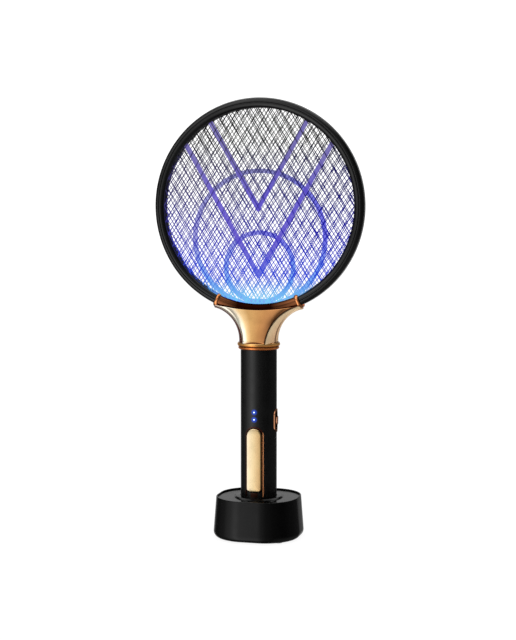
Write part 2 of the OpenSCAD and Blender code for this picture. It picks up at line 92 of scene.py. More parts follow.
HANDLE_R = tube_high.x
COLLAR_LOW = span("handle_collar")[0].z
COLLAR_HIGH = span("handle_collar")[1].z
BASE_LOW, BASE_H = base_low.z, base_high.z
LENS_R = (lens_high.x - lens_low.x) / 2
LENS_Z = (lens_low.z + LENS_R, lens_high.z - LENS_R)

# The press bar: how far its flange stands out all round, and half of its own width
BAR_FLANGE = 1.5
BAR_HALF = 7.6

# The neck: an outline that flares by a quarter circle, and a front panel between two arcs
NECK_BOTTOM = COLLAR_HIGH + 0.02
NECK_END_Z = COLLAR_HIGH + 34.2
FAN_R = 34
FAN_Z = COLLAR_HIGH + 1
FAN_HALF = 18.3
PANEL_R = 41.4
PANEL_X = 52
PANEL_START = 176.8
PANEL_SWEEP = 73.8
PANEL_Z = COLLAR_HIGH - 3.6
PANEL_END_Z = PANEL_Z + 41
PANEL_TOP_Z = RING_Z - RING_R - 0.5
PANEL_DEPTH_LOW = 17.5
PANEL_DEPTH_HIGH = TUBE_HALF + 1.3

# Angles on the ring: its lowest point, and from there the saddle's end and the clamp collar's middle
RING_FOOT = 270
SADDLE_HALF = 24.6
CLAMP_AT = 23.9

# ---------- the camera's place ----------

CAMERA_AZIMUTH = 15
CAMERA_HEIGHT = RING_Z + 3.4
CAMERA_DISTANCE = 1450
CAMERA_PITCH = 4.6
CAMERA_LENS = 81.9
CAMERA_SIDE = -0.8


# ---------- mesh helpers ----------

def new_object(name, verts, faces, smooth=True):
    """A mesh object from points in millimetres."""
    mesh = bpy.data.meshes.new(name)
    mesh.from_pydata([(x * MM, y * MM, z * MM) for x, y, z in verts], [], faces)
    mesh.update()
    obj = bpy.data.objects.new(name, mesh)
    bpy.context.scene.collection.objects.link(obj)
    bm = bmesh.new()
    bm.from_mesh(mesh)
    bmesh.ops.remove_doubles(bm, verts=bm.verts, dist=1e-6)
    bmesh.ops.recalc_face_normals(bm, faces=bm.faces)
    bm.to_mesh(mesh)
    bm.free()
    if smooth:
        mesh.shade_smooth()
        mesh.set_sharp_from_angle(angle=math.radians(38))
    return obj


def put(obj, body, material, slot, *replaced):
    """Finishes a piece: its material, the body that it rides on, and the CAD nodes it stands for."""
    obj.data.materials.clear()
    obj.data.materials.append(material)
    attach(obj, body)
    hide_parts(*replaced)


def arc(cx, cy, r, a0, a1, n):
    """Points of a circle's arc, angles in degrees."""
    steps = [math.radians(a0 + (a1 - a0) * i / n) for i in range(n + 1)]
    return [(cx + r * math.cos(a), cy + r * math.sin(a)) for a in steps]


def grid_faces(rows, cols, loop_rows=False, loop_cols=False):
    """Quads of a grid of points stored row by row."""
    faces = []
    for i in range(rows if loop_rows else rows - 1):
        for j in range(cols if loop_cols else cols - 1):
            k, n = (i + 1) % rows, (j + 1) % cols
            faces.append((i * cols + j, i * cols + n, k * cols + n, k * cols + j))
    return faces


def add_tube(verts, faces, rows, closed=False):
    """Adds a tube through rows of points: closed on itself, or with a flat cap at each end."""
    start, sides = len(verts), len(rows[0])
    last = start + (len(rows) - 1) * sides
    for row in rows:
        verts.extend(row)
    quads = grid_faces(len(rows), sides, loop_rows=closed, loop_cols=True)
    faces += [tuple(start + f for f in quad) for quad in quads]
    if not closed:
        faces += [tuple(range(start, start + sides)), tuple(range(last, last + sides))]


def tube_object(name, rows, closed=False):
    """A mesh object that is one tube."""
    verts, faces = [], []
    add_tube(verts, faces, rows, closed)
    return new_object(name, verts, faces)


def ring_point(r, v, angle):
    """A point of the ring: radius, distance to the front, and angle from +X towards +Z."""
    a = math.radians(angle)
    return (r * math.cos(a), -v, RING_Z + r * math.sin(a))


def sweep_ring(name, profile, a0=0, a1=360, steps=256):
    """Sweeps a closed profile (radius, distance to the front) round the ring's axis."""
    full = a1 - a0 >= 360
    rows = [[ring_point(r, v, a0 + (a1 - a0) * i / steps) for r, v in profile]
            for i in range(steps if full else steps + 1)]
    return tube_object(name, rows, closed=full)


def sleeve_profile(outer, inner, opening):
    """Section of a sleeve round the ring tube, open towards the ring's middle.

    outer is a function that gives the sleeve's height above the tube for an angle of the section,
    inner the gap below it, and opening half of the opening's width.
    """
    corners = ((1, 1, 0), (-1, 1, 90), (-1, -1, 180), (1, -1, 270))
    loop = []
    for sx, sv, start in corners:
        loop += [(sx * TUBE_FLAT_R, sv * TUBE_FLAT_V, start + 10 * i) for i in range(10)]
    first = next(i for i, (x, v, a) in enumerate(loop) if a >= 180)
    loop = loop[first:] + loop[:first]

    def point(entry, grow):
        x, v, a = entry
        r = TUBE_CORNER + grow
        return (RING_R + x + r * math.cos(math.radians(a)), v + r * math.sin(math.radians(a)))

    out = [point(e, outer(e[2])) for e in loop]
    back = [point(e, inner) for e in loop]
    out = [q for q in out if q[0] > RING_R or abs(q[1]) > opening]
    back = [q for q in back if q[0] > RING_R or abs(q[1]) > opening]
    return out + back[::-1]


# ---------- material helpers ----------

class Nodes:
    """Short ways to add shader nodes to one material or world."""

    def __init__(self, tree):
        self.tree = tree
        self.links = tree.links

    def add(self, kind, **values):
        node = self.tree.nodes.new(kind)
        for key, value in values.items():
            setattr(node, key, value)
        return node

    def feed(self, socket, value):
        if isinstance(value, bpy.types.NodeSocket):
            self.links.new(value, socket)
        else:
            socket.default_value = value

    def math(self, operation, a, b=0.0):
        node = self.add("ShaderNodeMath", operation=operation)
        self.feed(node.inputs[0], a)
        self.feed(node.inputs[1], b)
        return node.outputs[0]

    def ramp(self, value, low, high, out_low=0.0, out_high=1.0, smooth=True):
        node = self.add("ShaderNodeMapRange", interpolation_type="SMOOTHSTEP" if smooth else "LINEAR")
        self.feed(node.inputs["Value"], value)
        self.feed(node.inputs["From Min"], low)
        self.feed(node.inputs["From Max"], high)
        self.feed(node.inputs["To Min"], out_low)
        self.feed(node.inputs["To Max"], out_high)
        return node.outputs["Result"]

    def mix(self, factor, a, b, blend="MIX"):
        node = self.add("ShaderNodeMix", data_type="RGBA", blend_type=blend)
        self.feed(node.inputs[0], factor)
        self.feed(node.inputs[6], a)
        self.feed(node.inputs[7], b)
        return node.outputs[2]

    def curve(self, value, stops, interpolation="LINEAR"):
        """The colour at a value, through the stops (value, colour)."""
        low, high = stops[0][0], stops[-1][0]
        node = self.add("ShaderNodeValToRGB")
        node.color_ramp.interpolation = interpolation
        elements = node.color_ramp.elements
        while len(elements) < len(stops):
            elements.new(0.5)
        for element, (at, color) in zip(elements, stops):
            element.position = (at - low) / (high - low)
            element.color = color
        self.links.new(self.ramp(value, low, high, smooth=False), node.inputs[0])
        return node.outputs[0]

    def noise(self, scale, detail, vector):
        node = self.add("ShaderNodeTexNoise")
        node.inputs["Scale"].default_value = scale
        node.inputs["Detail"].default_value = detail
        self.links.new(vector, node.inputs["Vector"])
        return node.outputs["Fac"]

    def xyz(self):
        """The object's own coordinates in millimetres: the vector, then x, y and z."""
        coord = self.add("ShaderNodeTexCoord").outputs["Object"]
        scale = self.add("ShaderNodeVectorMath", operation="SCALE")
        scale.inputs["Scale"].default_value = 1 / MM
        self.links.new(coord, scale.inputs[0])
        parts = self.add("ShaderNodeSeparateXYZ")
        self.links.new(scale.outputs[0], parts.inputs[0])
        return (scale.outputs[0], *parts.outputs)

    def distance(self, vector, point):
        node = self.add("ShaderNodeVectorMath", operation="DISTANCE")
        self.links.new(vector, node.inputs[0])
        node.inputs[1].default_value = point
        return node.outputs["Value"]


def rgba(r, g, b):
    """A linear colour from sRGB values of 0 to 255."""
    def linear(c):
        c /= 255
        return c / 12.92 if c <= 0.04045 else ((c + 0.055) / 1.055) ** 2.4
    return (linear(r), linear(g), linear(b), 1.0)


def shader_of(mat):
    return mat.node_tree.nodes["Principled BSDF"]


def surface(name, color, rough, metallic=0.0, grain=0.35, bump=0.02, spread=0.25, wear=None):
    """A Principled material with fine grain, roughness variation and faint wear.

    grain is the grain's size in millimetres, spread how far the roughness varies, and wear the
    colour of the faint rubbed patches.
    """
    mat = bpy.data.materials.new(name)
    mat.use_nodes = True
    n = Nodes(mat.node_tree)
    shader = shader_of(mat)
    vector = n.xyz()[0]
    patches = n.noise(0.09, 4, vector)
    fine = n.noise(1 / grain, 2, vector)
    shade = n.ramp(patches, 0.3, 0.7, 0.9, 1.08)
    out = n.mix(1.0, color, shade, "MULTIPLY")
    if wear is not None:
        rubbed = n.math("MULTIPLY", n.ramp(n.noise(0.6, 6, vector), 0.66, 0.8), 0.35)
        out = n.mix(rubbed, out, wear)
    n.links.new(out, shader.inputs["Base Color"])
    shader.inputs["Metallic"].default_value = metallic
    mixed = n.math("ADD", n.math("MULTIPLY", patches, 0.6), n.math("MULTIPLY", fine, 0.4))
    n.links.new(n.ramp(mixed, 0.3, 0.7, rough * (1 - spread), rough * (1 + spread)),
                shader.inputs["Roughness"])
    bump_node = n.add("ShaderNodeBump")
    bump_node.inputs["Strength"].default_value = bump
    bump_node.inputs["Distance"].default_value = 0.1 * MM
    n.links.new(fine, bump_node.inputs["Height"])
    n.links.new(bump_node.outputs[0], shader.inputs["Normal"])
    return mat


def tone(mat, value, stops):
    """Multiplies the material's colour by the tones at the stops (value, colour)."""
    n = Nodes(mat.node_tree)
    socket = shader_of(mat).inputs["Base Color"]
    n.links.new(n.mix(1.0, socket.links[0].from_socket, n.curve(value, stops), "MULTIPLY"), socket)


def tone_along(mat, axis, stops):
    """The same, along one of the object's own axes (1 is x, 2 is y, 3 is z), in millimetres."""
    tone(mat, Nodes(mat.node_tree).xyz()[axis], stops)


def glowing(name, color, glow, rough, bump):
    """A pale surface with an even light of its own."""
    mat = surface(name, color, rough, grain=0.3, bump=bump)
    shader_of(mat).inputs["Emission Color"].default_value = glow
    shader_of(mat).inputs["Emission Strength"].default_value = 1.0
    return mat


# ---------- materials ----------

def gloss_black(name, color, rough, bump, specular):
    """The base's glossy black, with its reflections held down."""
    mat = surface(name, color, rough, grain=0.6, bump=bump)
    shader_of(mat).inputs["Specular IOR Level"].default_value = specular
    return mat


def neck_material():
    """Champagne gold with a painted reflection across it: pale on the neck's left, deepening to tan on its
    right, in step with the panel's width.

    share is 0 in the middle and 1 at the panel's edge, and is turned to its right at the back. The sides
    beyond the edge are satin, with painted dark lines along the edges, a painted cream highlight on the
    flanks, and a dark painted reflection band on the flank that fades upwards.
    """
    mat = surface("champagne_gold", rgba(255, 255, 255), 0.14, 1.0, grain=0.25, bump=0.01, spread=0.2)
    n = Nodes(mat.node_tree)
    x, y, z = n.xyz()[1:]
    up = n.math("SUBTRACT", z, PANEL_Z)
    drop = n.math("SUBTRACT", PANEL_R * PANEL_R, n.math("MULTIPLY", up, up))
    edge = n.math("SUBTRACT", PANEL_X, n.math("SQRT", n.math("MAXIMUM", drop, 1.0)))
    share = n.math("DIVIDE", x, n.math("MAXIMUM", edge, 8.0))
    turned = n.math("SUBTRACT", n.math("ABSOLUTE", share), share)
    share = n.math("ADD", share, n.math("MULTIPLY", turned, n.ramp(y, -0.5, 0.5)))
    # Painted reflections: pale on the left, tan on the right, dark lines at the panel's edges and cream
    # highlights on the flanks
    tone(mat, share, ((-1.16, rgba(96, 40, 26)), (-1.06, rgba(255, 244, 226)), (-0.8, rgba(255, 240, 214)),
                      (-0.6, rgba(232, 196, 142)), (-0.3, rgba(208, 162, 102)), (0.3, rgba(206, 148, 90)),
                      (0.9, rgba(230, 158, 100)), (1.0, rgba(110, 56, 32)), (1.08, rgba(255, 226, 182)),
                      (1.5, rgba(250, 206, 160))))
    flank = n.ramp(n.math("ABSOLUTE", share), 1.04, 1.12)
    n.links.new(n.math("SUBTRACT", 1.0, n.math("MULTIPLY", flank, 0.6)), shader_of(mat).inputs["Metallic"])
    slope = (PANEL_DEPTH_HIGH - PANEL_DEPTH_LOW) / (PANEL_END_Z - NECK_BOTTOM)
    height = n.math("SUBTRACT", z, NECK_BOTTOM)
    depth = n.math("ADD", n.math("MULTIPLY", height, slope), PANEL_DEPTH_LOW)
    level = n.math("DIVIDE", n.math("ABSOLUTE", y), depth)
    # A painted reflection: a dark band on the flank that fades upwards
    painted_reflection_streak = n.math("MULTIPLY", n.ramp(level, 0.26, 0.36), n.ramp(level, 0.4, 0.5, 1.0, 0.0))
    painted_reflection_streak = n.math("MULTIPLY", n.math("MULTIPLY", painted_reflection_streak, flank), n.ramp(height, 16, 27, 0.85, 0.0))
    socket = shader_of(mat).inputs["Base Color"]
    n.links.new(n.mix(painted_reflection_streak, socket.links[0].from_socket, rgba(84, 38, 24)), socket)
    return mat


def bar_material():
    """Gold with a painted reflection across it: palest on the bar's left, deeper on its right."""
    mat = surface("bar_gold", rgba(255, 255, 255), 0.22, 1.0, grain=0.2, bump=0.015, spread=0.2)
    # Painted reflection: the tones across the bar stand for the studio's light, pale on the left
    tone_along(mat, 1, ((-7.5, rgba(240, 221, 190)), (-1, rgba(246, 221, 172)),
                        (7.5, rgba(255, 205, 138))))
    return mat


def saddle_material():
    """Copper with painted shade that darkens the saddle's middle; it stays bright at the clamps."""
    mat = surface("saddle_copper", rgba(150, 92, 58), 0.2, 1.0, grain=0.25, bump=0.015)
    # Painted shade: the middle of the saddle is darkened
    tone_along(mat, 1, ((-44, rgba(255, 255, 255)), (-20, rgba(70, 46, 44)), (14, rgba(60, 38, 36)),
                        (44, rgba(255, 255, 255))))
    return mat


def collar_material():
    """Copper with painted light along its height: painted shade at its edges and in the groove between the
    handle collar's two beads, and painted highlights on the beads.
    """
    mat = surface("collar_copper", rgba(255, 206, 150), 0.12, 0.75, grain=0.25, bump=0.012, spread=0.2)
    # Painted shade at the edges and in the groove, painted highlights on the beads, brightest near the top
    tone_along(mat, 3, ((COLLAR_LOW, rgba(120, 64, 34)), (COLLAR_LOW + 1.6, rgba(255, 190, 140)),
                        (COLLAR_LOW + 3.1, rgba(84, 38, 18)), (COLLAR_HIGH - 3, rgba(255, 210, 150)),
                        (COLLAR_HIGH - 1.6, rgba(255, 246, 210)), (COLLAR_HIGH, rgba(120, 60, 34))))
    return mat


def surround_material():
    """Copper of the bar's frame, darkened by painted shade, with a painted highlight along its right edge.
    """
    mat = surface("bar_surround", rgba(236, 170, 124), 0.2, 0.5, grain=0.25, bump=0.015, spread=0.2)
    # Painted shade over the frame, and a painted highlight at its right edge
    tone_along(mat, 1, ((-9, rgba(64, 40, 34)), (2, rgba(80, 46, 34)), (8.3, rgba(70, 40, 30)),
                        (8.6, rgba(255, 236, 216))))
    return mat


def nearest_lens(n):
    """Distance to the nearer indicator's centre on the handle's front."""
    vector = n.xyz()[0]
    lower, upper = (n.distance(vector, (0, -HANDLE_R, z)) for z in LENS_Z)
    return n.math("MINIMUM", lower, upper)


def handle_material():
    """Satin black with a fine grain, and the indicators' blue light painted on round them as a glow of the
    handle's own.
    """
    mat = surface("handle_satin", rgba(8, 8, 8), 0.3, grain=0.3, bump=0.035)
    n = Nodes(mat.node_tree)
    shader = shader_of(mat)
    # Painted light: the handle itself glows blue round each indicator
    painted_glow = n.ramp(nearest_lens(n), LENS_R * 0.8, LENS_R * 2.5, 1.0, 0.0)
    shader.inputs["Emission Color"].default_value = rgba(8, 70, 200)
    n.links.new(n.math("MULTIPLY", painted_glow, 0.9), shader.inputs["Emission Strength"])
    return mat


def lens_material():
    """A lit blue lens, pale in the middle."""
    mat = surface("lens_lit", rgba(4, 12, 60), 0.25, grain=0.4, bump=0.01)
    n = Nodes(mat.node_tree)
    shader = shader_of(mat)
    core = n.ramp(nearest_lens(n), 0.3 * LENS_R, 0.75 * LENS_R, 1.0, 0.0)
    color = n.mix(core, rgba(8, 60, 190), rgba(225, 246, 255))
    n.links.new(color, shader.inputs["Emission Color"])
    n.links.new(n.math("ADD", n.math("MULTIPLY", core, 1.2), 1.0), shader.inputs["Emission Strength"])
    return mat


def height_share(n, z):
    """0 at the bottom of the ring's opening, 1 at its top."""
    return n.ramp(z, RING_Z - SPACER_IN, RING_Z + SPACER_IN, smooth=False)


def painted_lamp_glow(n, x, z):
    """Colour of the lamps' light painted on a wire as its own glow: near black at the top, violet, then
    pale blue at the neck, darker on the right.
    """
    up = height_share(n, z)
    side = n.ramp(x, -SPACER_IN * 0.8, SPACER_IN * 0.5)
    top_mid = n.mix(side, rgba(56, 50, 104), rgba(14, 6, 104))
    mid = n.mix(n.ramp(up, 0.3, 0.62), n.mix(side, rgba(62, 58, 172), rgba(14, 6, 164)), top_mid)
    upper = n.mix(n.ramp(up, 0.6, 0.86), mid, rgba(14, 14, 16))
    lower = n.mix(n.ramp(up, 0.12, 0.38), rgba(34, 62, 212), upper)
    return n.mix(n.ramp(up, 0.01, 0.15), rgba(116, 200, 242), lower)


def painted_light_zone(n, vector, z, gap):
    """Where the painted lamp light shows: 1 in the ring's opening, falling to 0 at its wall less gap.

    At the very bottom it stays 1 out to the saddle.
    """
    flat = n.add("ShaderNodeVectorMath", operation="MULTIPLY")
    n.links.new(vector, flat.inputs[0])
    flat.inputs[1].default_value = (1, 0, 1)
    radius = n.distance(flat.outputs[0], (0, 0, RING_Z))
    inside = n.ramp(radius, SPACER_IN - gap - 1, SPACER_IN - gap, 1.0, 0.0)
    return n.math("MAXIMUM", inside, n.ramp(height_share(n, z), 0.04, 0.09, 1.0, 0.0))


def net_material():
    """A dark wire with the lamps' light painted on as a glow of its own, rising from the neck."""
    mat = surface("net_wire", rgba(10, 10, 12), 0.35, grain=0.3, bump=0.05)
    n = Nodes(mat.node_tree)
    shader = shader_of(mat)
    vector, x, _, z = n.xyz()
    shader.inputs["Specular IOR Level"].default_value = 0.25
    n.links.new(painted_lamp_glow(n, x, z), shader.inputs["Emission Color"])
    n.links.new(painted_light_zone(n, vector, z, -0.5), shader.inputs["Emission Strength"])
    return mat


def rib_material(name, top, left, right, bottom):
    """The spacer: black where it lines the ring, and with the lamps' light painted on as a glow of its own
    on the ribs that cross the opening; top, left, right and bottom are its colours there.
    """
    mat = surface(name, rgba(10, 10, 12), 0.5, grain=0.3, bump=0.05)
    n = Nodes(mat.node_tree)
    shader = shader_of(mat)
    vector, x, _, z = n.xyz()
    up = height_share(n, z)
    side = n.ramp(x, -SPACER_IN * 0.7, SPACER_IN * 0.5)
    middle = n.mix(n.ramp(up, 0.5, 0.8), n.mix(side, left, right), top)
    n.links.new(n.mix(n.ramp(up, 0.08, 0.36), bottom, middle), shader.inputs["Emission Color"])
    inside = painted_light_zone(n, vector, z, 0.2)
    n.links.new(inside, shader.inputs["Emission Strength"])
    n.links.new(n.math("SUBTRACT", 1.0, n.math("MULTIPLY", inside, 0.25)), shader.inputs["Alpha"])
    return mat


mat_ring = surface("ring_semi_gloss", rgba(9, 9, 9), 0.22, grain=0.5, bump=0.02)
mat_base = gloss_black("base_gloss_black", rgba(3, 3, 3), 0.2, 0.01, 0.3)
mat_base_top = gloss_black("base_top_gloss", rgba(4, 4, 4), 0.14, 0.008, 0.2)
mat_under = surface("underside_matte", rgba(30, 30, 30), 0.6, grain=0.4, bump=0.12)
mat_rubber = surface("foot_rubber", rgba(38, 38, 38), 0.8, grain=0.3, bump=0.2)
mat_steel = surface("zinc_steel", rgba(170, 173, 178), 0.32, 1.0, grain=0.15, bump=0.06)
mat_contact = surface("contact_gold", rgba(228, 186, 96), 0.25, 1.0, grain=0.15, bump=0.03)
mat_board = surface("board_green", rgba(22, 92, 50), 0.45, grain=0.4, bump=0.08)
mat_inner = surface("inner_plastic", rgba(70, 70, 74), 0.55, grain=0.4, bump=0.1)
mat_cell = surface("cell_wrap", rgba(46, 104, 176), 0.3, grain=0.6, bump=0.04)
mat_ferrite = surface("ferrite", rgba(92, 68, 40), 0.6, grain=0.3, bump=0.15)
mat_cap = surface("capacitor_resin", rgba(150, 48, 30), 0.35, grain=0.4, bump=0.05)
mat_lead = surface("lead_red", rgba(170, 30, 26), 0.5, grain=0.3, bump=0.05)
mat_copper = surface("trim_copper", rgba(214, 150, 112), 0.15, 1.0, grain=0.25, bump=0.015, spread=0.2,
                     wear=rgba(180, 110, 70))
mat_clamp = surface("clamp_copper", rgba(240, 156, 98), 0.1, 1.0, grain=0.25, bump=0.012, spread=0.2)
# The foot inlay's colour is copper darkened by painted shade
mat_shaded_inlay = surface("foot_inlay", rgba(58, 26, 14), 0.3, 0.8, grain=0.3, bump=0.03)
mat_gold = neck_material()
mat_bar = bar_material()
mat_saddle = saddle_material()
mat_collar = collar_material()
mat_surround = surround_material()
mat_handle = handle_material()
mat_lens = lens_material()
mat_net = net_material()
# Both spacers take painted lamp light, violet on the front one and blue on the rear one
mat_rib_front = rib_material("rib_violet", rgba(104, 94, 170), rgba(92, 74, 196), rgba(78, 62, 196),
                             rgba(66, 84, 218))
mat_rib_rear = rib_material("rib_blue", rgba(124, 124, 160), rgba(146, 146, 212), rgba(92, 92, 224),
                            rgba(104, 164, 240))
mat_lamp = glowing("lamp_white", rgba(225, 232, 255), rgba(170, 200, 255), 0.3, 0.02)
mat_window = glowing("lamp_window", rgba(180, 215, 255), rgba(120, 190, 255), 0.35, 0.05)

# The CAD nodes that are shown as they are, each with its material
CARRIED = {
    "base_top_plate": mat_base_top, "base_bottom_plate": mat_under, "ballast_plate": mat_steel,
    "rubber_feet": mat_rubber, "base_screws": mat_steel, "charging_board": mat_board,
    "contact_barrels": mat_contact, "contact_pins": mat_contact, "usb_inlet": mat_steel,
    "handle_tube": mat_handle, "handle_end_cap": mat_under, "charge_contacts": mat_contact,
    "inner_chassis": mat_inner, "battery_cell": mat_cell, "battery_terminals": mat_steel,
    "main_board": mat_board, "hv_transformer": mat_ferrite, "hv_capacitors": mat_cap,
    "tact_switch": mat_inner, "bar_trim": mat_surround, "bar_foot_inlay": mat_shaded_inlay,
    "side_trim": mat_copper, "side_knob": mat_copper, "slide_switch_body": mat_inner,
    "indicator_lenses": mat_lens, "indicator_lamps": mat_lamp, "neck_screws": mat_steel,
    "hv_leads": mat_lead, "front_spacer": mat_rib_front, "rear_spacer": mat_rib_rear,
    "uv_lamp_strip": mat_board, "uv_lamps": mat_lamp, "uv_window": mat_window,
}
for name, material in CARRIED.items():
    nodes[name].data.materials.clear()
    nodes[name].data.materials.append(material)


# ---------- ring ----------

def build_ring():
    """Main hoop and front bezel, with the joint groove between them on the front."""
    out_r, in_r = RING_R + TUBE_FLAT_R, RING_R - TUBE_FLAT_R
    split, groove, groove_half, joint = RING_R + 0.3, 0.7, 0.35, 0.02
    hoop = [(split, TUBE_HALF - groove), (split + groove_half, TUBE_HALF - 0.1)]
    hoop += arc(out_r, TUBE_FLAT_V, TUBE_CORNER, 88, 0, 14)
    hoop += arc(out_r, -TUBE_FLAT_V, TUBE_CORNER, 0, -90, 12)
    hoop += arc(in_r, -TUBE_FLAT_V, TUBE_CORNER, -90, -163, 10)
    hoop += [(CHANNEL_R, -CHANNEL_V), (CHANNEL_R, CHANNEL_V), (split, CHANNEL_V)]
    put(sweep_ring("ring_hoop_skin", hoop), "swatter", mat_ring, "ring_black", "ring_hoop")
    bezel = arc(in_r, TUBE_FLAT_V, TUBE_CORNER, 163, 92, 14)
    bezel += [(split - groove_half, TUBE_HALF - 0.1), (split - joint, TUBE_HALF - groove),
              (split - joint, CHANNEL_V)]
    put(sweep_ring("ring_bezel_skin", bezel), "swatter", mat_ring, "ring_black", "ring_bezel")


# ---------- nets ----------

def wire(verts, faces, offset, thick, slant, drift, lean, v):
    """Adds one wire across the opening.

    offset is its distance from the middle, thick half its thickness, slant how far it strays for
    each millimetre of its length, and drift its waviness at each step.
    """
    sides, steps = 6, len(drift) - 1
    a = math.radians(lean)
    along, across = (math.sin(a), math.cos(a)), (math.cos(a), -math.sin(a))
    half = math.sqrt(NET_REACH * NET_REACH - offset * offset)
    rows = []
    for i in range(steps + 1):
        t = -half + 2 * half * i / steps
        side = offset + slant * t + drift[i] * math.sin(math.pi * i / steps)
        cx = t * along[0] + side * across[0]
        cz = t * along[1] + side * across[1]
        circle = arc(0, 0, thick, 0, 360 - 360 / sides, sides - 1)
        rows.append([(cx + u * across[0], w - v, RING_Z + cz + u * across[1]) for u, w in circle])
    add_tube(verts, faces, rows)


def wire_net(name, v, pitch, leans, wire_r, seed, node):
    """A net of two layers of crossing round wires, with a flat rim."""
    rng = random.Random(seed)
    count, steps, apart = int(NET_REACH / pitch), 12, wire_r * 0.85
    verts, faces = [], []
    for layer, lean in zip((1, -1), leans):
        for number in range(-count, count + 1):
            offset = number * pitch
            thick = wire_r * rng.uniform(0.85, 1.2)
            slant = rng.uniform(-0.06, 0.06) * pitch / NET_REACH
            drift = [rng.uniform(-0.02, 0.02) * pitch for _ in range(steps + 1)]
            if NET_REACH * NET_REACH - offset * offset > pitch * pitch:
                wire(verts, faces, offset, thick, slant, drift, lean, v + layer * apart)
    low_r, high_r, half = SPACER_IN + 0.2, CHANNEL_R - 0.3, 0.45
    rim = [(low_r, v - half), (high_r, v - half), (high_r, v + half), (low_r, v + half)]
    turns = 180
    rows = [[ring_point(r, w, 360 * i / turns) for r, w in rim] for i in range(turns)]
    add_tube(verts, faces, rows, closed=True)
    slot = "grid_metal" if node == "centre_grid" else "net_metal"
    put(new_object(name, verts, faces), "swatter", mat_net, slot, node)


def build_nets():
    wire_net("front_net_wires", NET_V, GUARD_PITCH, GUARD_LEANS, 0.42, 1, "front_net")
    wire_net("centre_grid_wires", 0, GRID_PITCH, GRID_LEANS, 0.36, 2, "centre_grid")
    wire_net("rear_net_wires", -NET_V, GUARD_PITCH, GUARD_LEANS, 0.32, 3, "rear_net")


# ---------- neck ----------

def panel_depth(z):
    """Half of the neck's depth at the height z."""
    t = min(max((z - NECK_BOTTOM) / (PANEL_END_Z - NECK_BOTTOM), 0), 1)
    return PANEL_DEPTH_LOW + (PANEL_DEPTH_HIGH - PANEL_DEPTH_LOW) * t


def panel_edge(t):
    """The line between the front panel and the side, from the collar (0) to the clamp (1)."""
    a = math.radians(PANEL_START - PANEL_SWEEP * t)
    return PANEL_X + PANEL_R * math.cos(a), PANEL_Z + PANEL_R * math.sin(a)


def neck_silhouette(t):
    """The neck's outline seen from the front, at the same steps as panel_edge."""
    z = NECK_BOTTOM + (NECK_END_Z - NECK_BOTTOM) * t
    if z <= FAN_Z:
        return FAN_HALF, z
    dz = min(z - FAN_Z, FAN_R)
    return FAN_HALF + FAN_R - math.sqrt(FAN_R * FAN_R - dz * dz), z


def build_neck_shell(front):
    """One half of the neck: a slightly crowned panel, a fine step along its edge, and curved sides."""
    sign = -1 if front else 1
    rows, cols, flank = 30, 28, 12
    step_w, step_d, lift, joint, wall = 0.45, 0.4, 50, 0.06, 1.2
    lift_sin, lift_cos = math.sin(math.radians(lift)), math.cos(math.radians(lift))
    verts = []
    for i in range(rows + 1):
        t = i / rows
        ex, ez = panel_edge(t)
        sx, sz = neck_silhouette(t)
        middle = NECK_BOTTOM + (PANEL_TOP_Z - NECK_BOTTOM) * t
        row = []
        for k in range(flank + 1):
            b = math.radians(lift + (90 - lift) * (1 - k / flank))
            share = (math.sin(b) - lift_sin) / (1 - lift_sin)
            depth = (panel_depth(ez) - step_d) * math.cos(b) / lift_cos
            row.append((ex + step_w + (sx - ex - step_w) * share, depth, ez + (sz - ez) * share))
        points = [(-x, d, z) for x, d, z in row]
        for k in range(cols + 1):
            u = -1 + 2 * k / cols
            z = middle + (ez - middle) * u * u
            crown = (0.5 + 1.1 * t) * (1 - u * u)
            points.append((u * ex, panel_depth(z) + crown, z))
        points += row[::-1]
        verts += [(x, sign * max(d, joint), z) for x, d, z in points]
    width = 2 * (flank + 1) + cols + 1
    half = "neck_front" if front else "neck_rear"
    obj = new_object(half + "_skin", verts, grid_faces(rows + 1, width))
    thick = obj.modifiers.new("wall", "SOLIDIFY")
    thick.thickness = wall * MM
    thick.offset = -1
    put(obj, "swatter", mat_gold, "neck_gold", half + "_shell")


def build_saddle():
    """The sleeve round the bottom of the ring."""
    profile = sleeve_profile(lambda a: 0.95, 0.02, CHANNEL_V)
    obj = sweep_ring("neck_saddle_skin", profile, RING_FOOT - SADDLE_HALF, RING_FOOT + SADDLE_HALF, 64)
    put(obj, "swatter", mat_saddle, "saddle_copper", "neck_saddle")


def build_clamp_collar(side):
    """A rounded clamp, thicker and wider where it meets the tube's inner and outer edges."""
    centre, steps = RING_FOOT + side * CLAMP_AT, 16
    half_angle, widening, wall = 0.95, 0.4, 1.0
    rows = []
    for i in range(steps + 1):
        u = -1 + 2 * i / steps
        bulge = math.sqrt(max(1 - u * u, 0))

        def height(a):
            end = math.cos(math.radians(a)) ** 2
            return wall + (0.75 + 1.05 * end) * bulge

        row = []
        for r, v in sleeve_profile(height, 0.97, CHANNEL_V):
            end = min(abs(r - RING_R) / (TUBE_WIDE / 2), 1) ** 2
            row.append(ring_point(r, v, centre + u * (half_angle + widening * end)))
        rows.append(row)
    name = "clamp_collar_right" if side > 0 else "clamp_collar_left"
    put(tube_object(name + "_skin", rows), "swatter", mat_clamp, "trim_copper", name)


